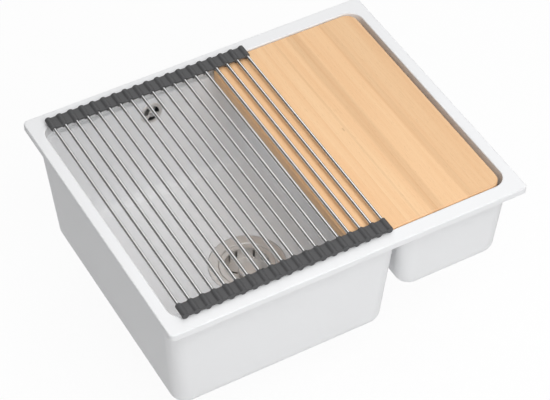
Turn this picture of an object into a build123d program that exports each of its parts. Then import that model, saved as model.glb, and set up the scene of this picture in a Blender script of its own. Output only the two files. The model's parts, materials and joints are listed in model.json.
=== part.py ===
from build123d import *
import os
from math import cos, radians, sin, tan

# A kitchen sink of one and a half bowls, moulded in white stone composite, with a cutting board
# that slides on a ledge, a roll-up drying rack, two basket wastes and an overflow.
# Millimetres. +X runs from the large bowl to the small one, +Y to the back and +Z up.
# The origin is the centre of the rim's top face.

# Rim and opening
rim_width = 555.0
rim_depth = 460.0
rim_thick = 10.0
rim_corner = 8.0
rim_edge = 2.0
opening_width = 520.0
opening_depth = 413.0
opening_corner = 22.0

# Ledge that carries the board, along the front and the back only
ledge_drop = 18.5
ledge_width = 7.0
ledge_edge = 3.0
tray_wall = 8.5
tray_drop = 27.0
tray_chamfer = 6.0

# Bowls, measured at the ledge
draft_angle = 4.0
wall_thick = 9.0
floor_thick = 10.0
inner_corner = 16.0
tray_corner = 25.0
outer_corner = 24.0
main_right = 78.5
main_depth = 195.0
main_floor_radius = 16.0
small_left = 99.5
small_depth = 142.0
small_floor_radius = 11.0
divider_drop = 26.0
divider_edge = 8.0

# Wastes
main_waste_x = -46.0
main_waste_y = -10.0
small_waste_y = 0.0
waste_hole_radius = 45.0
waste_seat_radius = 58.2
waste_seat_depth = 2.5
flange_radius = 57.5
flange_sheet = 1.2
cup_radius = 43.0
cup_depth = 34.0
cup_plate = 1.6
outlet_radius = 21.0
spider_boss_radius = 8.0
spider_arm = 5.0
spider_arms = 3
clamp_screw_radius = 3.0
clamp_screw_head_radius = 5.5
clamp_screw_head = 3.2
clamp_screw_drive = 1.6
washer_thick = 2.5
washer_inner = 46.5
washer_outer = 56.0
body_lip = 4.0
body_clearance = 1.5
body_wall = 3.0
body_well = 30.0
body_neck = 16.0
body_boss_height = 9.0
tail_radius = 23.9
tail_wall = 3.4
tail_length = 32.0
hose_radius = 9.5
hose_bore = 7.0
hose_length = 28.0
hose_shoulder = 1.0
hose_drop = 18.5

# Strainer baskets
basket_clearance = 0.6
basket_sheet = 1.0
basket_rim = 6.0
basket_sink = 1.2
basket_depth = 24.0
basket_slots = 16
basket_slot_width = 3.2
basket_slot_margin = 4.0
foot_slots = 8
foot_slot_width = 3.2
foot_slot_length = 13.0
knob_radius = 14.0
knob_thick = 4.0
knob_drop = 10.0
knob_edge = 1.4
stem_radius = 4.0
stem_collar_radius = 8.0
stem_collar = 2.0
seal_radius = 27.0
seal_lip = 4.0
seal_plate = 2.6
rest_gap = 0.3
slip_fit = 0.1

# Overflow, on the back wall of the large bowl
overflow_x = -90.0
overflow_drop = 43.0
overflow_hole_radius = 13.0
rosette_radius = 17.5
rosette_thick = 1.6
rosette_edge = 0.8
rosette_slots = 4
rosette_slot_length = 9.0
rosette_slot_width = 3.6
rosette_hub_radius = 5.0
rosette_hub = 1.2
overflow_screw_radius = 2.5
overflow_screw_head_radius = 4.0
overflow_screw_head = 1.6
overflow_gasket_thick = 2.0
overflow_flange_radius = 20.0
overflow_face_margin = 1.0
overflow_chamber_depth = 20.0
overflow_wall = 2.5

# Cutting board
board_width = 241.0
board_depth = 409.0
board_thick = 18.0
board_corner = 18.0
board_edge = 1.5
board_side_gap = 8.2

# Roll-up rack
rod_count = 19
rod_pitch = 17.3
rod_radius = 2.5
rack_side_gap = 14.3
strip_overlap = 6.0
strip_width = 25.0
sleeve_radius = 5.2
sleeve_sides = 8
sleeve_end = 2.0
sleeve_fit = 0.05
web_thick = 3.5
link_gap = 0.3

overrun = 5.0

draft_slope = tan(radians(draft_angle))
ledge_z = -ledge_drop
divider_z = -divider_drop
main_left = -opening_width / 2
small_right = opening_width / 2
bowl_half = opening_depth / 2 - ledge_width
small_waste_x = (small_left + small_right) / 2


def drafted_block(left, right, half, corner, low, high, floor_radius=0):
    """A block that narrows downwards by the draft, its sides measured at the ledge."""
    with BuildPart() as block:
        with BuildSketch(Plane(origin=((left + right) / 2, 0, low))):
            Rectangle(right - left, 2 * half)
        extrude(amount=high - low)
        sides = block.faces().filter_by(Axis.Z, reverse=True)
        draft(sides, neutral_plane=Plane.XY.offset(ledge_z), angle=-draft_angle)
        floor_edges = block.faces().sort_by(Axis.Z)[0].edges()
        top_edges = block.faces().sort_by(Axis.Z)[-1].edges()
        if floor_radius == corner:
            fillet(block.edges() - top_edges, radius=corner)
        else:
            fillet(block.edges() - top_edges - floor_edges, radius=corner)
            if floor_radius > 0:
                fillet(block.faces().sort_by(Axis.Z)[0].edges(), radius=floor_radius)
    return block.part


def rounded_mouth(left, right, half, corner, top, radius, limit):
    """What rounding over an opening's top edge takes away, kept inside the limit."""
    inset = draft_slope * (ledge_z - top + radius)
    width = right - left - 2 * inset
    depth = 2 * (half - inset)
    mouth_plane = Plane(origin=((left + right) / 2, 0, top))
    with BuildPart() as frame:
        with BuildSketch(mouth_plane):
            Rectangle(width + 4 * radius, depth + 4 * radius)
            RectangleRounded(width, depth, corner, mode=Mode.SUBTRACT)
        extrude(amount=-2 * radius)
        fillet(frame.faces().sort_by(Axis.Z)[-1].inner_wires().edges(), radius=radius)
    with BuildPart() as removed:
        with BuildSketch(mouth_plane):
            Rectangle(width + 3 * radius, depth + 3 * radius)
        extrude(amount=-radius)
        add(frame.part, mode=Mode.SUBTRACT)
        add(limit, mode=Mode.INTERSECT)
    return removed.part


def turned(centre, outline):
    """A piece turned about a vertical axis, its outline given as radius and height."""
    with BuildPart() as piece:
        with BuildSketch(Plane(origin=centre, x_dir=(1, 0, 0), z_dir=(0, -1, 0))):
            with BuildLine():
                Polyline(*outline, close=True)
            make_face()
        revolve(axis=Axis(centre, (0, 0, 1)))
    return piece.part


# The sink body, one moulding
wall_normal = Vector(0, -cos(radians(draft_angle)), sin(radians(draft_angle)))
overflow_wall_y = bowl_half + draft_slope * (ledge_drop - overflow_drop)
overflow_face = Plane(
    origin=(overflow_x, overflow_wall_y, -overflow_drop),
    x_dir=(1, 0, 0),
    z_dir=wall_normal,
)
overflow_outer_face = overflow_face.offset(-wall_thick * cos(radians(draft_angle)))
wastes = {
    "main": (main_waste_x, main_waste_y, main_depth),
    "small": (small_waste_x, small_waste_y, small_depth),
}

divider_limit = drafted_block(
    main_left, small_right, bowl_half, inner_corner, divider_z - divider_edge, divider_z
)
with BuildPart() as ledge_limit:
    with BuildSketch(Plane.XY.offset(ledge_z)):
        RectangleRounded(opening_width, opening_depth, opening_corner)
    extrude(amount=-ledge_edge)

with BuildPart() as sink_body:
    with BuildSketch(Plane.XY.offset(-rim_thick)):
        RectangleRounded(rim_width, rim_depth, rim_corner)
    extrude(amount=rim_thick)
    with BuildSketch(Plane.XY.offset(-rim_thick)):
        RectangleRounded(opening_width + 2 * wall_thick, opening_depth + 2 * tray_wall, tray_corner)
    extrude(amount=rim_thick - tray_drop)
    with BuildSketch(Plane.XY.offset(-tray_drop)):
        RectangleRounded(opening_width + 2 * wall_thick, opening_depth + 2 * tray_wall, tray_corner)
    extrude(amount=-tray_chamfer, taper=45)
    for left, right, depth in (
        (main_left, main_right, main_depth),
        (small_left, small_right, small_depth),
    ):
        add(drafted_block(
            left - wall_thick,
            right + wall_thick,
            bowl_half + wall_thick,
            outer_corner,
            -depth - floor_thick,
            -rim_thick / 2,
            outer_corner,
        ))
    with BuildSketch(Plane.XY.offset(ledge_z)):
        RectangleRounded(opening_width, opening_depth, opening_corner)
    extrude(amount=ledge_drop, mode=Mode.SUBTRACT)
    add(
        drafted_block(main_left, small_right, bowl_half, inner_corner, divider_z, ledge_z),
        mode=Mode.SUBTRACT,
    )
    add(
        rounded_mouth(
            main_left, small_right, bowl_half, inner_corner, ledge_z, ledge_edge, ledge_limit.part
        ),
        mode=Mode.SUBTRACT,
    )
    for left, right, depth, floor_radius in (
        (main_left, main_right, main_depth, main_floor_radius),
        (small_left, small_right, small_depth, small_floor_radius),
    ):
        add(
            drafted_block(left, right, bowl_half, inner_corner, -depth, divider_z, floor_radius),
            mode=Mode.SUBTRACT,
        )
        add(
            rounded_mouth(left, right, bowl_half, inner_corner, divider_z, divider_edge, divider_limit),
            mode=Mode.SUBTRACT,
        )
    fillet(sink_body.edges().group_by(Axis.Z)[-1], radius=rim_edge)
    for waste_x, waste_y, depth in wastes.values():
        with BuildSketch(Plane(origin=(waste_x, waste_y, -depth))):
            Circle(waste_seat_radius)
        extrude(amount=-waste_seat_depth, mode=Mode.SUBTRACT)
        with BuildSketch(Plane(origin=(waste_x, waste_y, -depth))):
            Circle(waste_hole_radius)
        extrude(amount=-floor_thick, mode=Mode.SUBTRACT)
    with BuildSketch(overflow_face):
        Circle(overflow_hole_radius)
    extrude(amount=-wall_thick - overrun, mode=Mode.SUBTRACT)
    with BuildSketch(overflow_outer_face):
        Circle(overflow_flange_radius + overflow_face_margin)
    extrude(amount=-tray_wall - overrun, mode=Mode.SUBTRACT)

# The cutting board lies on the ledge, its top level with the rim
board_right = opening_width / 2 - board_side_gap
board_x = board_right - board_width / 2
with BuildPart() as cutting_board:
    with BuildSketch(Plane(origin=(board_x, 0, ledge_z + rest_gap))):
        RectangleRounded(board_width, board_depth, board_corner)
    extrude(amount=board_thick)
    faces = cutting_board.faces().sort_by(Axis.Z)
    chamfer(faces[0].edges() + faces[-1].edges(), length=board_edge)

# The rack's rods and the links of the two silicone strips that hold their ends
rod_z = sleeve_radius + rest_gap
rack_left_x = main_left + rack_side_gap
strip_outer = opening_depth / 2 + strip_overlap
strip_inner = strip_outer - strip_width
rod_half = strip_outer - sleeve_end
web_reach = rod_pitch / 2 - link_gap / 2


def rack_rod(rod_x):
    with BuildPart() as rod:
        with BuildSketch(Plane(origin=(rod_x, -rod_half, rod_z), x_dir=(1, 0, 0), z_dir=(0, 1, 0))):
            Circle(rod_radius)
        extrude(amount=2 * rod_half)
    return rod


def rack_link(rod_x, web_left, web_right):
    """The front and back sleeves of one rod, each with its half webs towards the next rods."""
    with BuildPart() as link:
        for side in (-1, 1):
            with BuildSketch(Plane(
                origin=(rod_x, side * strip_inner, rod_z), x_dir=(side, 0, 0), z_dir=(0, side, 0)
            )):
                RegularPolygon(sleeve_radius, sleeve_sides, major_radius=False, rotation=180 / sleeve_sides)
                with Locations((side * (web_right - web_left) / 2, 0)):
                    Rectangle(web_left + web_right, web_thick)
            extrude(amount=strip_outer - strip_inner)
            with BuildSketch(Plane(
                origin=(rod_x, side * strip_inner, rod_z), x_dir=(side, 0, 0), z_dir=(0, side, 0)
            )):
                RegularPolygon(
                    rod_radius + sleeve_fit,
                    sleeve_sides,
                    major_radius=False,
                    rotation=180 / sleeve_sides,
                )
            extrude(amount=strip_outer - strip_inner - sleeve_end, mode=Mode.SUBTRACT)
    return link


# The wastes, one set for each bowl: a steel flange with its cup, clamped through the floor to a
# plastic body below by one long screw, and a lift-out basket with its knob and rubber seal
def waste_set(name, centre_x, centre_y, depth, hose):
    centre = (centre_x, centre_y, -depth)
    pieces = {}
    gasket_top = -flange_sheet
    cup_inner = cup_radius - flange_sheet
    plate_top = cup_plate - cup_depth

    with BuildPart() as flange:
        add(turned(centre, (
            (0, -cup_depth),
            (cup_radius, -cup_depth),
            (cup_radius, gasket_top),
            (flange_radius, gasket_top),
            (flange_radius, gasket_top / 2),
            (flange_radius - flange_sheet / 2, 0),
            (cup_radius, 0),
            (cup_inner, -flange_sheet),
            (cup_inner, plate_top),
            (0, plate_top),
        )))
        with BuildSketch(Plane(origin=(centre_x, centre_y, -depth - cup_depth))):
            Circle(outlet_radius)
            with PolarLocations(outlet_radius / 2, spider_arms):
                Rectangle(outlet_radius, spider_arm, mode=Mode.SUBTRACT)
            Circle(spider_boss_radius, mode=Mode.SUBTRACT)
            Circle(clamp_screw_radius + slip_fit)
        extrude(amount=cup_plate, mode=Mode.SUBTRACT)
    pieces["strainer_flange"] = flange

    with BuildPart() as gasket:
        with BuildSketch(Plane(origin=(centre_x, centre_y, -depth - waste_seat_depth))):
            Circle(flange_radius)
            Circle(waste_hole_radius, mode=Mode.SUBTRACT)
        extrude(amount=waste_seat_depth - flange_sheet)
    pieces["flange_gasket"] = gasket

    washer_top = -floor_thick
    body_top = washer_top - washer_thick
    with BuildPart() as washer:
        with BuildSketch(Plane(origin=(centre_x, centre_y, -depth + body_top))):
            Circle(washer_outer)
            Circle(washer_inner, mode=Mode.SUBTRACT)
        extrude(amount=washer_thick)
    pieces["under_washer"] = washer

    well_radius = cup_radius + body_clearance
    well_low = body_top - body_well
    tail_top = well_low - body_neck
    tail_low = tail_top - tail_length
    tail_bore = tail_radius - tail_wall
    arm_reach = tail_bore + tail_wall / 2
    boss_low = well_low - body_neck / 2
    with BuildPart() as body:
        add(turned(centre, (
            (well_radius, body_top),
            (washer_outer, body_top),
            (washer_outer, body_top - body_lip),
            (well_radius + body_wall, body_top - body_lip),
            (well_radius + body_wall, well_low),
            (tail_radius + body_wall, well_low),
            (tail_radius + body_wall, tail_top),
            (tail_radius, tail_top),
            (tail_radius, tail_low),
            (tail_bore, tail_low),
            (tail_bore, well_low + body_wall),
            (well_radius, well_low + body_wall),
        )))
        with BuildSketch(Plane(origin=(centre_x, centre_y, -depth + boss_low))):
            Circle(spider_boss_radius)
            with PolarLocations(arm_reach / 2, spider_arms):
                Rectangle(arm_reach, spider_arm)
            Circle(clamp_screw_radius + slip_fit, mode=Mode.SUBTRACT)
        extrude(amount=body_boss_height)
        if hose:
            hose_face = Plane(
                origin=(centre_x, centre_y + well_radius, -depth + body_top - hose_drop),
                x_dir=(1, 0, 0),
                z_dir=(0, 1, 0),
            )
            with BuildSketch(hose_face):
                Circle(hose_radius + hose_shoulder)
            extrude(amount=body_wall + hose_shoulder)
            with BuildSketch(hose_face):
                Circle(hose_radius)
            extrude(amount=body_wall + hose_shoulder + hose_length)
            with BuildSketch(hose_face.offset(-body_wall)):
                Circle(hose_bore)
            extrude(amount=2 * body_wall + hose_shoulder + hose_length, mode=Mode.SUBTRACT)
    pieces["waste_body"] = body

    with BuildPart() as screw:
        with BuildSketch(Plane(origin=(centre_x, centre_y, -depth + plate_top))):
            Circle(clamp_screw_head_radius)
        extrude(amount=clamp_screw_head)
        with BuildSketch(Plane(origin=(centre_x, centre_y, -depth + plate_top))):
            Circle(clamp_screw_radius)
        extrude(amount=boss_low - plate_top)
        with BuildSketch(Plane(origin=(centre_x, centre_y, -depth + plate_top + clamp_screw_head))):
            Rectangle(2 * clamp_screw_head_radius, clamp_screw_drive)
        extrude(amount=-clamp_screw_head / 2, mode=Mode.SUBTRACT)
    pieces["clamp_screw"] = screw

    rim_radius = cup_inner - basket_clearance
    wall_radius = rim_radius - basket_rim
    foot_top = -basket_depth
    foot_low = foot_top - basket_sheet
    with BuildPart() as basket:
        add(turned(centre, (
            (stem_radius + slip_fit, foot_low),
            (wall_radius, foot_low),
            (wall_radius, -basket_sink - basket_sheet),
            (rim_radius, -basket_sink - basket_sheet),
            (rim_radius, -basket_sink),
            (wall_radius - basket_sheet, -basket_sink),
            (wall_radius - basket_sheet, foot_top),
            (stem_radius + slip_fit, foot_top),
        )))
        slot_height = basket_depth - basket_sink - 2 * basket_slot_margin
        slot_radius = wall_radius - basket_sheet / 2
        with Locations((centre_x, centre_y, -depth - basket_sink - basket_slot_margin - slot_height / 2)):
            with PolarLocations(slot_radius, basket_slots):
                Box(basket_sheet + 2 * overrun, basket_slot_width, slot_height, mode=Mode.SUBTRACT)
        with BuildSketch(Plane(origin=(centre_x, centre_y, -depth + foot_low))):
            with PolarLocations((stem_collar_radius + wall_radius) / 2, foot_slots):
                Rectangle(foot_slot_length, foot_slot_width)
        extrude(amount=basket_sheet, mode=Mode.SUBTRACT)
    pieces["basket"] = basket

    seal_low = plate_top + rest_gap
    stem_low = plate_top + clamp_screw_head + 2 * rest_gap
    with BuildPart() as knob:
        add(turned(centre, (
            (0, stem_low),
            (stem_radius, stem_low),
            (stem_radius, foot_top),
            (stem_collar_radius, foot_top),
            (stem_collar_radius, foot_top + stem_collar),
            (stem_radius, foot_top + stem_collar),
            (stem_radius, -knob_drop - knob_thick),
            (knob_radius, -knob_drop - knob_thick),
            (knob_radius, -knob_drop - knob_edge),
            (knob_radius - knob_edge, -knob_drop),
            (0, -knob_drop),
        )))
    pieces["basket_knob"] = knob

    with BuildPart() as seal:
        add(turned(centre, (
            (stem_radius + slip_fit, foot_low),
            (seal_radius, foot_low),
            (seal_radius, seal_low),
            (seal_radius - seal_lip, seal_low),
            (seal_radius - seal_lip, foot_low - seal_plate),
            (stem_radius + slip_fit, foot_low - seal_plate),
        )))
    pieces["basket_seal"] = seal
    return {name + "_" + piece_name: piece for piece_name, piece in pieces.items()}


# The overflow: a slotted steel rosette inside the bowl, screwed through the wall to a plastic
# elbow behind it, whose spigot takes the hose down to the waste
def overflow_set():
    pieces = {}
    with BuildPart() as rosette:
        with BuildSketch(overflow_face):
            Circle(rosette_radius)
        extrude(amount=rosette_thick)
        chamfer(rosette.faces().sort_by(Axis.Y)[0].outer_wire().edges(), length=rosette_edge)
        with BuildSketch(overflow_face.offset(rosette_thick)):
            Circle(rosette_hub_radius)
        extrude(amount=rosette_hub)
        with BuildSketch(overflow_face):
            with PolarLocations((rosette_hub_radius + rosette_radius) / 2, rosette_slots, start_angle=45):
                Rectangle(rosette_slot_width, rosette_slot_length)
            Circle(overflow_screw_radius + slip_fit)
        extrude(amount=rosette_thick + rosette_hub, mode=Mode.SUBTRACT)
    pieces["overflow_rosette"] = rosette

    boss_depth = overflow_gasket_thick + overflow_chamber_depth
    with BuildPart() as screw:
        with BuildSketch(overflow_face.offset(rosette_thick + rosette_hub)):
            Circle(overflow_screw_head_radius)
        extrude(amount=overflow_screw_head)
        with BuildSketch(overflow_face.offset(rosette_thick + rosette_hub)):
            Circle(overflow_screw_radius)
        extrude(amount=-rosette_thick - rosette_hub - wall_thick - boss_depth / 2)
    pieces["overflow_screw"] = screw

    with BuildPart() as gasket:
        with BuildSketch(overflow_outer_face):
            Circle(overflow_flange_radius)
            Circle(overflow_hole_radius, mode=Mode.SUBTRACT)
        extrude(amount=-overflow_gasket_thick)
    pieces["overflow_gasket"] = gasket

    chamber_face = overflow_outer_face.offset(-overflow_gasket_thick)
    chamber_centre = chamber_face.offset(-overflow_chamber_depth / 2).origin
    down_face = Plane(origin=chamber_centre, x_dir=(1, 0, 0), z_dir=(0, 0, -1))
    spigot_root = down_face.offset(overflow_hole_radius - 2 * hose_shoulder)
    shoulder_length = overflow_flange_radius + 3 * hose_shoulder - overflow_hole_radius
    with BuildPart() as elbow:
        with BuildSketch(chamber_face):
            Circle(overflow_flange_radius)
        extrude(amount=-overflow_wall)
        with BuildSketch(chamber_face):
            Circle(overflow_hole_radius + overflow_wall)
        extrude(amount=-overflow_chamber_depth)
        with BuildSketch(spigot_root):
            Circle(hose_radius + hose_shoulder)
        extrude(amount=shoulder_length)
        with BuildSketch(spigot_root):
            Circle(hose_radius)
        extrude(amount=shoulder_length + hose_length)
        with BuildSketch(chamber_face):
            Circle(overflow_hole_radius)
        extrude(amount=overflow_wall - overflow_chamber_depth, mode=Mode.SUBTRACT)
        with BuildSketch(down_face):
            Circle(hose_bore)
        extrude(amount=overflow_flange_radius + hose_shoulder + hose_length, mode=Mode.SUBTRACT)
        with BuildSketch(chamber_face.offset(-overflow_chamber_depth)):
            Circle(overflow_screw_head_radius)
        extrude(amount=overflow_chamber_depth)
        with BuildSketch(chamber_face.offset(-overflow_chamber_depth + overflow_wall)):
            Circle(overflow_screw_radius + slip_fit)
        extrude(amount=overflow_chamber_depth - overflow_wall, mode=Mode.SUBTRACT)
    pieces["overflow_elbow"] = elbow
    return pieces


pieces = {"sink_body": sink_body, "cutting_board": cutting_board}
for number in range(rod_count):
    rod_x = rack_left_x + rod_pitch * number
    web_left = web_reach if number > 0 else 0
    web_right = web_reach if number < rod_count - 1 else 0
    pieces[f"rod_{number + 1:02d}"] = rack_rod(rod_x)
    pieces[f"grip_{number + 1:02d}"] = rack_link(rod_x, web_left, web_right)
for name, (waste_x, waste_y, depth) in wastes.items():
    pieces.update(waste_set(name, waste_x, waste_y, depth, hose=name == "main"))
pieces.update(overflow_set())

os.makedirs("parts", exist_ok=True)
for name, piece in pieces.items():
    piece.part.label = name
    export_step(piece.part, f"parts/{name}.step")
print(len(pieces), "pieces")
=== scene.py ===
import bpy
import bmesh
import json
from functools import partial
from math import cos, radians, sin, sqrt
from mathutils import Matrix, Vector


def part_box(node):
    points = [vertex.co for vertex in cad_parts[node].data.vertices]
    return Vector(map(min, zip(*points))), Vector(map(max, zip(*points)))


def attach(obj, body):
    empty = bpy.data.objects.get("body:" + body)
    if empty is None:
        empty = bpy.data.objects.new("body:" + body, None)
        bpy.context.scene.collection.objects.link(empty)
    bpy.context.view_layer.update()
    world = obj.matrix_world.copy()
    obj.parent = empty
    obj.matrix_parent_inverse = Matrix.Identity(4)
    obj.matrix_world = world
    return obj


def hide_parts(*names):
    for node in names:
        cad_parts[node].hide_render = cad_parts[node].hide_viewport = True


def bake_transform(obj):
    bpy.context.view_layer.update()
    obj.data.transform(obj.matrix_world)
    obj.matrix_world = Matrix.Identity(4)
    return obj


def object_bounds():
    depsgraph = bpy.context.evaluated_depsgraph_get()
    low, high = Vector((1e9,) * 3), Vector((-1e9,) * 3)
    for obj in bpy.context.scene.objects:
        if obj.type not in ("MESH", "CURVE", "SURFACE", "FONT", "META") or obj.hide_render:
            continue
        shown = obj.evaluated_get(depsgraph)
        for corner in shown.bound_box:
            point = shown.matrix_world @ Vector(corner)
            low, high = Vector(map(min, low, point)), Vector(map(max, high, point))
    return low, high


# Kitchen sink of one and a half bowls with a cutting board, a roll-up rack and two basket wastes.
# The solids come from the frame. The rack's silicone strips and the overflow's rosette are modelled
# here, and every surface gets its finish. Lengths are in metres, angles in degrees.

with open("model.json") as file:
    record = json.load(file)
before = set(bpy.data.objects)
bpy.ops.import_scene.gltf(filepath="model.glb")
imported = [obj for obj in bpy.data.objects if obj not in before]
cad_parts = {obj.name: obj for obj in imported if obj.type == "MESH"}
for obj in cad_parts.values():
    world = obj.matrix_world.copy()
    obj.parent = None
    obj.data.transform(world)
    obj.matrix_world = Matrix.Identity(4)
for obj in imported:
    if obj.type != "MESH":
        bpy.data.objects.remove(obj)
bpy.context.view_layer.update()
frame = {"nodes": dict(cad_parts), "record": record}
print("frame loaded:", len(frame["nodes"]), "nodes")


# Tools for nodes

def plug(tree, socket, value):  # a link for what comes from a node, else a fixed value
    if isinstance(value, Wire):
        tree.links.new(value.socket, socket)
    else:
        socket.default_value = value


class Wire:  # the output of one node, for writing shader maths as expressions
    def __init__(self, tree, socket):
        self.tree = tree
        self.socket = socket

    def maths(self, operation, left, right=0.0):
        made = self.tree.nodes.new("ShaderNodeMath")
        made.operation = operation
        plug(self.tree, made.inputs[0], left)
        plug(self.tree, made.inputs[1], right)
        return Wire(self.tree, made.outputs[0])

    def __add__(self, other):
        return self.maths("ADD", self, other)

    def __radd__(self, other):
        return self.maths("ADD", other, self)

    def __sub__(self, other):
        return self.maths("SUBTRACT", self, other)

    def __rsub__(self, other):
        return self.maths("SUBTRACT", other, self)

    def __mul__(self, other):
        return self.maths("MULTIPLY", self, other)

    def __rmul__(self, other):
        return self.maths("MULTIPLY", other, self)

    def __truediv__(self, other):
        return self.maths("DIVIDE", self, other)

    def __rtruediv__(self, other):
        return self.maths("DIVIDE", other, self)

    def __gt__(self, other):
        return self.maths("GREATER_THAN", self, other)

    def __lt__(self, other):
        return self.maths("LESS_THAN", self, other)

    def __abs__(self):
        return self.maths("ABSOLUTE", self)


def addUp(wires):
    total = wires[0]
    for wire in wires[1:]:
        total = total + wire
    return total


class Nodes:  # the nodes of one material, world or modifier
    def __init__(self, tree):
        self.tree = tree

    def node(self, kind, settings=None, inputs=None, output=0):
        made = self.tree.nodes.new(kind)
        for key, value in (settings or {}).items():
            if key == "stops":
                ramp = made.color_ramp
                while len(ramp.elements) < len(value):
                    ramp.elements.new(0.5)
                for element, (place, colour) in zip(ramp.elements, value):
                    element.position = place
                    element.color = (*colour, 1.0)
            else:
                setattr(made, key, value)
        for key, value in (inputs or {}).items():
            plug(self.tree, made.inputs[key], value)
        return Wire(self.tree, made.outputs[output] if made.outputs else None)

    def rays(self, *kinds):  # 1 where the ray is of one of these kinds
        return addUp([self.node("ShaderNodeLightPath", output=f"Is {kind} Ray") for kind in kinds])


noiseSpan = (0.3, 0.7)  # nearly all of a noise lies between these
mixSockets = {"factor": 0, "first": 6, "second": 7, "result": 2}  # of a Mix node set to colours


class Finish(Nodes):  # one material, in the making
    def __init__(self, name, rough, metal=0.0, colour=(0.8, 0.8, 0.8)):
        self.material = bpy.data.materials.new(name)
        self.material.use_nodes = True
        super().__init__(self.material.node_tree)
        self.shader = self.tree.nodes["Principled BSDF"]
        self.shader.inputs["Metallic"].default_value = metal
        self.shader.inputs["Roughness"].default_value = rough
        self.shader.inputs["Base Color"].default_value = (*colour, 1.0)

    def feed(self, socketName, wire):
        self.tree.links.new(wire.socket, self.shader.inputs[socketName])

    def place(self):
        return self.node("ShaderNodeTexCoord", output="Object")

    def axis(self, place, letter):
        return self.node("ShaderNodeSeparateXYZ", {}, {"Vector": place}, output=letter)

    def scaled(self, place, scale):
        return self.node("ShaderNodeMapping", {}, {"Vector": place, "Scale": scale})

    def moved(self, place, **shift):  # shift is X=, Y= or Z=
        step = self.node("ShaderNodeCombineXYZ", {}, shift)
        return self.node("ShaderNodeVectorMath", {"operation": "ADD"}, {0: place, 1: step})

    def noise(self, place, scale=1.0, detail=3.0, rough=0.5):
        inputs = {"Vector": place, "Scale": scale, "Detail": detail, "Roughness": rough}
        return self.node("ShaderNodeTexNoise", {}, inputs)

    def stretch(self, value, span, low=0.0, high=1.0):  # what lies in span comes out from low to high
        start, end = span
        inputs = {"Value": value, "From Min": start, "From Max": end, "To Min": low, "To Max": high}
        return self.node("ShaderNodeMapRange", {"clamp": True}, inputs)

    def ramp(self, factor, stops):
        return self.node("ShaderNodeValToRGB", {"stops": stops}, {"Fac": factor})

    def mixColour(self, factor, first, second, blend="MIX"):
        settings = {"data_type": "RGBA", "blend_type": blend}
        inputs = {mixSockets["factor"]: factor}
        for name, colour in (("first", first), ("second", second)):
            inputs[mixSockets[name]] = (*colour, 1.0) if isinstance(colour, tuple) else colour
        return self.node("ShaderNodeMix", settings, inputs, mixSockets["result"])

    def roughen(self, noise, v):  # roughness on both sides of the finish's own
        below, above = v["roughSpread"]
        rough = self.stretch(noise, noiseSpan, v["rough"] - below, v["rough"] + above)
        self.feed("Roughness", rough)

    def emboss(self, height, v):
        inputs = {"Height": height, "Distance": v["bumpDepth"], "Strength": v["bumpStrength"]}
        self.feed("Normal", self.node("ShaderNodeBump", {}, inputs))


# Finishes

stoneValues = {
    "colour": (0.90, 0.905, 0.915),
    "shade": (0.86, 0.865, 0.875),
    "grain": 1400.0,
    "speckSpan": (0.60, 0.72),
    "speckTint": 0.35,
    "cloud": 9.0,
    "cloudTint": 0.25,
    "rough": 0.60,
    "roughSpread": (0.05, 0.06),
    "bumpDepth": 0.00004,
    "bumpStrength": 0.35,
}


def stoneFinish(v=stoneValues):
    finish = Finish("whiteStoneComposite", v["rough"])
    place = finish.place()
    grain = finish.noise(place, v["grain"], detail=2.0)
    cloud = finish.noise(place, v["cloud"], detail=4.0)
    speck = finish.stretch(grain, v["speckSpan"], 0.0, v["speckTint"])
    tone = finish.stretch(cloud, noiseSpan, 0.0, v["cloudTint"]) + speck
    finish.feed("Base Color", finish.mixColour(tone, v["colour"], v["shade"]))
    finish.roughen(grain, v)
    finish.emboss(grain, v)
    return finish.material


boardValues = {
    "glueLines": (0.058, 0.098, 0.147, 0.196),  # along x, between the glued staves
    "glueWidth": 0.00025,
    "glueTint": 0.30,
    "staveSeed": (7.31, 2.6),  # step from stave to stave, and start
    "staveShift": (0.37, 0.11),  # how far the grain moves on along y and z with each stave
    "wanderScale": (14.0, 3.0, 14.0),
    "wander": 0.012,
    "streakScale": (95.0, 2.2, 95.0),
    "streakSpan": (0.30, 0.72),
    "fineScale": (520.0, 9.0, 520.0),
    "poreScale": (2600.0, 120.0, 2600.0),
    "poreSpan": (0.62, 0.74),
    "poreTint": 0.40,
    "streakShare": 0.55,  # the shares make up the tone, from light to dark
    "fineShare": 0.40,
    "staveShare": 0.38,
    "toneShift": -0.21,
    "light": (0.955, 0.640, 0.365),
    "warm": (0.900, 0.560, 0.300),
    "dark": (0.800, 0.490, 0.255),
    "poreColour": (0.62, 0.36, 0.18),
    "bands": (  # middle along x, reach to each side, strength
        (0.147, 0.0120, 0.95),
        (0.199, 0.0070, 0.60),
        (0.226, 0.0320, 0.60),
        (0.117, 0.0022, 0.55),
    ),
    "bandCore": 0.62,
    "bandTint": (0.89, 0.87, 0.85),
    "bandWander": 0.004,
    "knot": (0.113, -0.007),
    "knotSize": (0.0016, 0.0050),
    "knotSpan": (0.2, 1.0),
    "knotTint": 0.55,
    "rough": 0.55,
    "roughSpread": (0.06, 0.08),
    "fineHeight": 0.6,
    "poreHeight": 0.4,
    "bumpDepth": 0.00008,
    "bumpStrength": 0.5,
}


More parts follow.
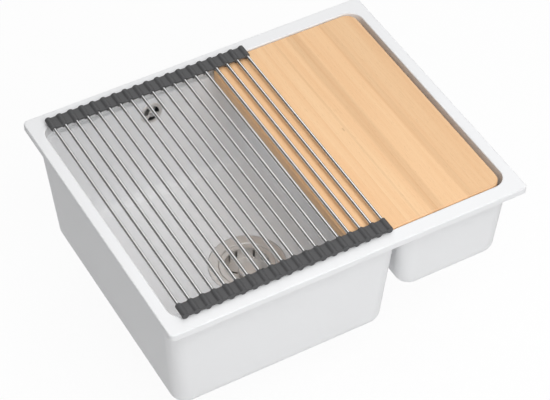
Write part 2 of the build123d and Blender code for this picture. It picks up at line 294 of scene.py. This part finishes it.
def boardFinish(v=boardValues):
    finish = Finish("oiledWoodStaves", v["rough"])
    place = finish.place()
    across = finish.axis(place, "X")
    stave = addUp([across > line for line in v["glueLines"]])
    glue = addUp([abs(across - line) < v["glueWidth"] for line in v["glueLines"]])

    seedStep, seedStart = v["staveSeed"]
    shiftY, shiftZ = v["staveShift"]
    seed = stave * seedStep + seedStart
    staveTone = finish.node("ShaderNodeTexWhiteNoise", {"noise_dimensions": "1D"}, {"W": seed})
    shifted = finish.moved(place, Y=stave * shiftY, Z=stave * shiftZ)
    wander = finish.noise(finish.scaled(shifted, v["wanderScale"]), detail=2.0)
    bent = finish.moved(shifted, X=wander * v["wander"])
    streak = finish.noise(finish.scaled(bent, v["streakScale"]), detail=4.0, rough=0.55)
    fine = finish.noise(finish.scaled(bent, v["fineScale"]), rough=0.6)
    pore = finish.noise(finish.scaled(bent, v["poreScale"]), detail=1.0)

    tone = finish.stretch(streak, v["streakSpan"]) * v["streakShare"] + fine * v["fineShare"]
    tone = tone + staveTone * v["staveShare"] + v["toneShift"]
    colour = finish.ramp(tone, ((0.0, v["light"]), (0.5, v["warm"]), (1.0, v["dark"])))
    poreMask = finish.stretch(pore, v["poreSpan"], 0.0, v["poreTint"])
    colour = finish.mixColour(poreMask, colour, v["poreColour"])
    colour = finish.mixColour(glue * v["glueTint"], colour, v["dark"])

    bandPlace = across + (wander - 0.5) * v["bandWander"]
    bandMask = addUp([
        finish.stretch(abs(bandPlace - middle), (reach * v["bandCore"], reach), strength, 0.0)
        for middle, reach, strength in v["bands"]
    ])
    colour = finish.mixColour(bandMask, colour, v["bandTint"], "MULTIPLY")

    knotX, knotY = v["knot"]
    knotWidth, knotLength = v["knotSize"]
    sideways = (across - knotX) / knotWidth
    along = (finish.axis(place, "Y") - knotY) / knotLength
    knotMask = finish.stretch(sideways * sideways + along * along, v["knotSpan"], v["knotTint"], 0.0)
    colour = finish.mixColour(knotMask, colour, v["poreColour"])

    finish.feed("Base Color", colour)
    finish.roughen(fine, v)
    finish.emboss(fine * v["fineHeight"] + pore * v["poreHeight"], v)
    return finish.material


steelValues = {
    "lineTones": (0.92, 1.06),
    "roughSpread": (0.05, 0.08),
    "bumpDepth": 0.00001,
    "bumpStrength": 0.3,
    "drawn": (1.0, 0.02, 1.0),  # lines run along the rods
    "pressed": (1.0, 1.0, 1.0),
}
rodValues = {"colour": (0.77, 0.77, 0.77), "rough": 0.19, "lines": 1800.0}
strainerValues = {"colour": (0.84, 0.82, 0.80), "rough": 0.50, "lines": 900.0}
screwValues = {"colour": (0.60, 0.60, 0.60), "rough": 0.35, "lines": 700.0}


def steelFinish(name, own, way):
    v = {**steelValues, **own}
    finish = Finish(name, v["rough"], metal=1.0, colour=v["colour"])
    lines = finish.noise(finish.scaled(finish.place(), v[way]), v["lines"], detail=2.0)
    tone = finish.stretch(lines, noiseSpan, *v["lineTones"])
    grey = finish.node("ShaderNodeCombineColor", {}, {"Red": tone, "Green": tone, "Blue": tone})
    finish.feed("Base Color", finish.mixColour(1.0, v["colour"], grey, "MULTIPLY"))
    finish.roughen(lines, v)
    finish.emboss(lines, v)
    return finish.material


mouldedValues = {
    "cloudSize": 30,  # in widths of a grain
    "grainSpan": (0.35, 0.75),
    "grainShare": 0.5,
    "cloudShare": 0.5,
    "roughSpread": (0.06, 0.06),
    "bumpDepth": 0.00003,
    "bumpStrength": 0.4,
}
siliconeValues = {
    "colour": (0.070, 0.070, 0.072),
    "worn": (0.095, 0.095, 0.098),
    "rough": 0.62,
    "grain": 2400.0,
}
sealValues = {
    "colour": (0.030, 0.030, 0.031),
    "worn": (0.055, 0.055, 0.056),
    "rough": 0.70,
    "grain": 1600.0,
}
plasticValues = {
    "colour": (0.78, 0.78, 0.76),
    "worn": (0.72, 0.72, 0.70),
    "rough": 0.42,
    "grain": 900.0,
}


def mouldedFinish(name, own):
    v = {**mouldedValues, **own}
    finish = Finish(name, v["rough"])
    place = finish.place()
    grain = finish.noise(place, v["grain"], detail=2.0)
    cloud = finish.noise(place, v["grain"] / v["cloudSize"])
    tone = finish.stretch(grain, v["grainSpan"]) * v["grainShare"]
    tone = tone + finish.stretch(cloud, noiseSpan) * v["cloudShare"]
    finish.feed("Base Color", finish.mixColour(tone, v["colour"], v["worn"]))
    finish.roughen(cloud, v)
    finish.emboss(grain, v)
    return finish.material


strainerSteel = steelFinish("pressedStrainerSteel", strainerValues, "pressed")
silicone = mouldedFinish("darkSilicone", siliconeValues)
sealRubber = mouldedFinish("sealRubber", sealValues)
slotFinish = {
    "stone_composite": stoneFinish(),
    "board_wood": boardFinish(),
    "rod_steel": steelFinish("satinRodSteel", rodValues, "drawn"),
    "grip_silicone": silicone,
    "strainer_steel": strainerSteel,
    "screw_steel": steelFinish("screwSteel", screwValues, "pressed"),
    "seal_rubber": sealRubber,
    "waste_plastic": mouldedFinish("wastePlastic", plasticValues),
}
print("finishes made:", len(slotFinish))


# Smooth shading for the solids, with their sharp edges kept

shadingValues = {"weld": 0.000002, "sharpAngle": 32.0}


def softShading(v=shadingValues):
    tree = bpy.data.node_groups.new("softShading", "GeometryNodeTree")
    tree.interface.new_socket("Geometry", in_out="INPUT", socket_type="NodeSocketGeometry")
    tree.interface.new_socket("Geometry", in_out="OUTPUT", socket_type="NodeSocketGeometry")
    nodes = Nodes(tree)
    solid = nodes.node("NodeGroupInput")
    welded = nodes.node("GeometryNodeMergeByDistance", {}, {"Geometry": solid, "Distance": v["weld"]})
    smooth = nodes.node("GeometryNodeSetShadeSmooth", {}, {"Geometry": welded})
    angle = nodes.node("GeometryNodeInputMeshEdgeAngle", output="Unsigned Angle")
    limits = {"A": angle, "B": radians(v["sharpAngle"])}
    steep = nodes.node("FunctionNodeCompare", {"operation": "GREATER_THAN"}, limits)
    edges = {"Geometry": smooth, "Selection": steep, "Shade Smooth": False}
    creased = nodes.node("GeometryNodeSetShadeSmooth", {"domain": "EDGE"}, edges)
    nodes.node("NodeGroupOutput", {}, {0: creased})
    return tree


shadingTree = softShading()
for subpart in frame["record"]["subparts"]:
    solid = frame["nodes"][subpart["node"]]
    solid.data.materials.clear()
    solid.data.materials.append(slotFinish[subpart["material_slot"]])
    shading = solid.modifiers.new("softShading", "NODES")
    shading.node_group = shadingTree
    weights = solid.modifiers.new("faceWeights", "WEIGHTED_NORMAL")
    weights.keep_sharp = True
print("solids finished")


# Tools for the pieces that are modelled here

def skinFaces(rings, count, closed):  # quads from each ring of count points to the next one
    faces = []
    for ring in range(rings if closed else rings - 1):
        nextRing = (ring + 1) % rings
        for place in range(count):
            nextPlace = (place + 1) % count
            faces.append((
                ring * count + place,
                ring * count + nextPlace,
                nextRing * count + nextPlace,
                nextRing * count + place,
            ))
    return faces


def makePiece(name, verts, faces, material, sharpAngle, weld=0.0):
    mesh = bpy.data.meshes.new(name)
    mesh.from_pydata(verts, [], faces)
    shape = bmesh.new()
    shape.from_mesh(mesh)
    if weld:
        bmesh.ops.remove_doubles(shape, verts=shape.verts, dist=weld)
    bmesh.ops.recalc_face_normals(shape, faces=shape.faces)
    loose = [vert for vert in shape.verts if not vert.link_faces]
    bmesh.ops.delete(shape, geom=loose, context="VERTS")
    shape.to_mesh(mesh)
    shape.free()
    mesh.polygons.foreach_set("use_smooth", [True] * len(mesh.polygons))
    mesh.set_sharp_from_angle(angle=radians(sharpAngle))
    mesh.materials.append(material)
    piece = bpy.data.objects.new(name, mesh)
    bpy.context.scene.collection.objects.link(piece)
    return piece


# The silicone strips, one moulding along each end of the rods, in lengths from rod to rod

stripValues = {
    "sleeve": 0.0045,  # radius round a rod's end
    "foot": 0.0050,  # the same, below the rod
    "web": 0.00165,  # half thickness between the sleeves
    "blendWidth": 0.0016,  # of the rounding from sleeve to web
    "bore": 0.00255,
    "boreDepth": 0.0217,
    "boreEnd": 0.999,  # share of the bore's height at its closed end, so that the two don't weld
    "inner": 0.1890,  # y of the face that the rods come out of
    "outerMargin": 0.0013,
    "edge": 0.0007,
    "edgeSteps": 3,
    "arcSteps": 11,
    "arcReach": 66.0,  # how far round the sleeve its points go, before those of the web
    "webSteps": 5,
    "boreSteps": 8,
    "jointRoom": 0.0056,  # from a rod's axis to where the web starts to bend
    "weld": 0.0000005,
    "sharpAngle": 38.0,
}
rodCount = len([name for name in frame["nodes"] if name.startswith("rod_")])
rodBoxes = [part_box(f"rod_{number:02d}") for number in range(1, rodCount + 1)]
rodCentres = [(low + high) / 2 for low, high in rodBoxes]
rodZ = rodCentres[0].z
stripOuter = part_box("grip_01")[1].y - stripValues["outerMargin"]
stripInner = stripValues["inner"]
stripWidth = stripOuter - stripInner


def stripHeight(away, radius, v=stripValues):  # half thickness, away from the nearest rod's axis
    sleeve = radius * sqrt(max(1.0 - (away / v["sleeve"]) ** 2, 0.0))
    gap = max(v["blendWidth"] - abs(sleeve - v["web"]), 0.0)
    return max(sleeve, v["web"]) + gap * gap / (4 * v["blendWidth"])


def stripRings(v=stripValues):  # of each ring, how far it is from the inner face and drawn in
    turns = [radians(90 * step / v["edgeSteps"]) for step in range(v["edgeSteps"] + 1)]
    rounding = [(v["edge"] * (1 - cos(turn)), v["edge"] * (1 - sin(turn))) for turn in turns]
    outerEnd = [(stripWidth - drawnIn, inward) for inward, drawnIn in rounding]
    return rounding + [(v["boreDepth"], 0.0)] + outerEnd


def boreArc(centreX, centreZ, radius, turnFrom, turnTo, steps, foot=0.0):
    points = []
    for step in range(steps + 1):
        turn = radians(turnFrom + (turnTo - turnFrom) * step / steps)
        drop = radius if cos(turn) > 0 else radius + foot
        points.append((centreX + radius * sin(turn), centreZ + drop * cos(turn)))
    return points


def lengthOutline(left, right, centreZ, drawnIn, bored, v=stripValues):
    half = (right - left) / 2
    arcTurns = [v["arcReach"] * step / v["arcSteps"] for step in range(v["arcSteps"] + 1)]
    aways = [v["sleeve"] * sin(radians(turn)) for turn in arcTurns]
    last = aways[-1]
    aways += [last + (half - last) * (step + 1) / v["webSteps"] for step in range(v["webSteps"])]
    places = [(left + away, away) for away in aways]
    places += [(right - away, away) for away in reversed(aways[:-1])]
    top = [(x, centreZ + stripHeight(away, v["sleeve"]) - drawnIn) for x, away in places]
    bottom = [(x, centreZ - stripHeight(away, v["foot"]) + drawnIn) for x, away in reversed(places)]
    bore = v["bore"] if bored else v["bore"] * v["boreEnd"]
    rightArc = boreArc(right, centreZ, bore, 0, -180, v["boreSteps"])
    leftArc = boreArc(left, centreZ, bore, 180, 0, v["boreSteps"])
    if not bored:
        rightArc = [(right, z) for x, z in rightArc]
        leftArc = [(left, z) for x, z in leftArc]
    return top + rightArc + bottom + leftArc


def endOutline(centreX, centreZ, direction, drawnIn, bored, v=stripValues):
    half = 180 * direction
    foot = v["foot"] - v["sleeve"]
    outer = boreArc(centreX, centreZ, v["sleeve"] - drawnIn, 0, half, 3 * v["boreSteps"], foot)
    inner = boreArc(centreX, centreZ, v["bore"], half, 0, v["boreSteps"])
    if not bored:
        inner = [(centreX, z) for x, z in inner]
    return outer + inner


def stripPiece(name, outlineAt, side, v=stripValues):  # side is -1 for the front and 1 for the back
    rings = stripRings()
    loops = []
    for number, (inward, drawnIn) in enumerate(rings):
        bored = inward <= v["boreDepth"]
        loops.append((inward, outlineAt(drawnIn, bored)))
        if bored and rings[number + 1][0] > v["boreDepth"]:
            loops.append((inward, outlineAt(drawnIn, False)))
    verts = [(x, side * (stripInner + inward), z) for inward, outline in loops for x, z in outline]
    count = len(loops[0][1])
    faces = skinFaces(len(loops), count, closed=False)
    faces.append(tuple(reversed(range(count))))
    faces.append(tuple(range((len(loops) - 1) * count, len(loops) * count)))
    piece = makePiece(name, verts, faces, silicone, v["sharpAngle"], weld=v["weld"])
    return piece


for sideName, side in (("front", -1), ("back", 1)):
    for number in range(1, rodCount):
        left = rodCentres[number - 1].x
        right = rodCentres[number].x
        outlineAt = partial(lengthOutline, left, right, rodZ)
        length = stripPiece(f"strip_{sideName}_{number:02d}", outlineAt, side)
        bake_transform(length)
        if sideName == "front":  # a grip's node holds both its sleeves, and the front stands for it
            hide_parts(f"grip_{number:02d}")
    for endName, number, direction in (("left", 1, -1), ("right", rodCount, 1)):
        outlineAt = partial(endOutline, rodCentres[number - 1].x, rodZ, direction)
        cap = stripPiece(f"strip_{sideName}_{endName}_end", outlineAt, side)
        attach(cap, f"rack_link_{number:02d}")
        if sideName == "front" and endName == "right":
            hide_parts(f"grip_{rodCount:02d}")
print("silicone strips made")


# The overflow's rosette, with its three long slots

rosetteValues = {
    "draft": 4.0,  # lean of the bowl's back wall
    "stations": (  # distance from the middle, height off the wall
        (0.0026, 0.0028),
        (0.0046, 0.0028),
        (0.0050, 0.0016),
        (0.0056, 0.0016),
        (0.0127, 0.0016),
        (0.0162, 0.0016),
        (0.0175, 0.0008),
    ),
    "slotStation": 3,  # the slots reach from this station to the next one
    "slots": 3,
    "firstSlot": 30.0,
    "slotSpan": 80.0,
    "turnSteps": 90,
    "sharpAngle": 20.0,
}
rosetteLow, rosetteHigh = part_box("overflow_rosette")
rosetteRadius = (rosetteHigh.x - rosetteLow.x) / 2
wallLean = radians(rosetteValues["draft"])
wallUpward = Vector((0.0, sin(wallLean), cos(wallLean)))
wallOutward = Vector((0.0, -cos(wallLean), sin(wallLean)))
rosetteCentre = Vector((
    (rosetteLow.x + rosetteHigh.x) / 2,
    rosetteHigh.y - rosetteRadius * sin(wallLean),
    (rosetteLow.z + rosetteHigh.z) / 2,
))


def rosettePlace(distance, turn, height):  # polar place on the wall's face, and height off it
    across = Vector((distance * cos(turn), 0.0, 0.0))
    return rosetteCentre + across + wallUpward * distance * sin(turn) + wallOutward * height


def rosettePiece(v=rosetteValues):
    steps = v["turnSteps"]
    stations = v["stations"]
    count = len(stations)
    pitch = 360 / v["slots"]
    verts = []
    for step in range(steps):
        turn = radians(360 * step / steps)
        for distance, height in stations:
            verts.append(rosettePlace(distance, turn, height))
            verts.append(rosettePlace(distance, turn, 0.0))

    def isOpen(step, station):
        turn = 360 * (step + 0.5) / steps
        away = abs((turn - v["firstSlot"] + pitch / 2) % pitch - pitch / 2)
        return station == v["slotStation"] and away < v["slotSpan"] / 2

    def corner(place, side):
        step, station = place
        return 2 * ((step % steps) * count + station) + side

    faces = []
    for step in range(steps):
        for station in range(count - 1):
            if isOpen(step, station):
                continue
            here, outward = (step, station), (step, station + 1)
            onward, beyond = (step + 1, station), (step + 1, station + 1)
            for side in (0, 1):
                faces.append(tuple(corner(place, side) for place in (here, outward, beyond, onward)))
            walls = (  # along the rims and the slots
                (station == 0 or isOpen(step, station - 1), here, onward),
                (station == count - 2 or isOpen(step, station + 1), outward, beyond),
                (isOpen((step - 1) % steps, station), here, outward),
                (isOpen((step + 1) % steps, station), onward, beyond),
            )
            for bare, first, second in walls:
                if bare:
                    ends = ((first, 0), (second, 0), (second, 1), (first, 1))
                    faces.append(tuple(corner(place, side) for place, side in ends))
    piece = makePiece("overflowRosette", verts, faces, strainerSteel, v["sharpAngle"])
    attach(piece, "root")
    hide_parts("overflow_rosette")


# The rubber sleeve that lines the hole behind the rosette

sleeveValues = {
    "profile": (  # distance from the middle, height off the wall
        (0.0129, 0.0),
        (0.0124, 0.0),
        (0.0124, -0.0088),
        (0.0129, -0.0088),
    ),
    "turnSteps": 90,
    "sharpAngle": 40.0,
}


def sleevePiece(v=sleeveValues):
    steps = v["turnSteps"]
    profile = v["profile"]
    turns = [radians(360 * step / steps) for step in range(steps)]
    verts = [rosettePlace(distance, turn, height) for turn in turns for distance, height in profile]
    faces = skinFaces(steps, len(profile), closed=True)
    piece = makePiece("overflowSleeve", verts, faces, sealRubber, v["sharpAngle"])
    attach(piece, "root")


rosettePiece()
sleevePiece()
print("rosette made")


# Floor, backdrop and light

white = (1.0, 1.0, 1.0, 1.0)
stageValues = {
    "floorGap": 0.0005,
    "floorSize": 12.0,
    "floorColour": (0.93, 0.93, 0.93),
    "floorRough": 0.9,
    "floorGlow": 0.94,  # share of plain white in the floor as it is seen
    "world": 0.12,
}
lampValues = {
    "frontLamp": {"place": (0.0, -1.7, 1.9), "size": 2.2, "power": 42.0},
    "leftLamp": {"place": (-1.3, -1.1, 1.9), "size": 2.2, "power": 10.0},
    "topLamp": {"place": (0.0, 0.0, 2.6), "size": 2.2, "power": 13.0},
    "backLamp": {"place": (1.2, 1.2, 1.9), "size": 2.6, "power": 21.0},
}
cameraValues = {
    "place": (-1.0130, -1.8112, 2.0573),
    "heading": -29.358,
    "tilt": 46.015,
    "focal": 2087.9,  # in pixels of a picture as wide as pictureWidth
    "pictureWidth": 550.0,
    "sensor": 36.0,
}


def makeFloor(v=stageValues):
    half = v["floorSize"] / 2
    corners = [(-half, -half, 0), (half, -half, 0), (half, half, 0), (-half, half, 0)]
    mesh = bpy.data.meshes.new("paleFloor")
    mesh.from_pydata(corners, [], [(0, 1, 2, 3)])
    floor = bpy.data.objects.new("paleFloor", mesh)
    floor.location.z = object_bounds()[0][2] - v["floorGap"]
    bpy.context.scene.collection.objects.link(floor)
    finish = Finish("paleFloor", v["floorRough"], colour=v["floorColour"])
    seen = finish.rays("Camera", "Glossy", "Transmission")
    lit = Wire(finish.tree, finish.shader.outputs[0])
    glow = finish.node("ShaderNodeEmission", {}, {"Color": white, "Strength": 1.0})
    mixed = finish.node("ShaderNodeMixShader", {}, {0: seen * v["floorGlow"], 1: lit, 2: glow})
    plug(finish.tree, finish.tree.nodes["Material Output"].inputs["Surface"], mixed)
    mesh.materials.append(finish.material)


def makeWorld(v=stageValues):
    world = bpy.data.worlds.new("studio")
    bpy.context.scene.world = world
    world.use_nodes = True
    nodes = Nodes(world.node_tree)
    nodes.tree.nodes.clear()
    light = nodes.node("ShaderNodeBackground", {}, {"Color": white, "Strength": v["world"]})
    backdrop = nodes.node("ShaderNodeBackground", {}, {"Color": white, "Strength": 1.0})
    seen = nodes.rays("Camera", "Transmission")
    mixed = nodes.node("ShaderNodeMixShader", {}, {0: seen, 1: light, 2: backdrop})
    nodes.node("ShaderNodeOutputWorld", {}, {"Surface": mixed})


def makeLamp(name, v):
    lamp = bpy.data.lights.new(name, "AREA")
    lamp.shape = "DISK"
    lamp.size = v["size"]
    lamp.energy = v["power"]
    holder = bpy.data.objects.new(name, lamp)
    holder.location = v["place"]
    holder.rotation_euler = (-Vector(v["place"])).to_track_quat("-Z", "Y").to_euler()
    bpy.context.scene.collection.objects.link(holder)


def makeCamera(v=cameraValues):
    heading = radians(v["heading"])
    tilt = radians(v["tilt"])
    ahead = Vector((-sin(heading) * cos(tilt), cos(heading) * cos(tilt), -sin(tilt)))
    camera = bpy.data.cameras.new("photoCamera")
    camera.sensor_width = v["sensor"]
    camera.lens = v["focal"] * v["sensor"] / v["pictureWidth"]
    holder = bpy.data.objects.new("photoCamera", camera)
    holder.location = v["place"]
    holder.rotation_euler = ahead.to_track_quat("-Z", "Y").to_euler()
    bpy.context.scene.collection.objects.link(holder)
    bpy.context.scene.camera = holder


makeFloor()
makeWorld()
for lampName, values in lampValues.items():
    makeLamp(lampName, values)
makeCamera()
bpy.context.scene.view_settings.view_transform = "Standard"
print("stage set")
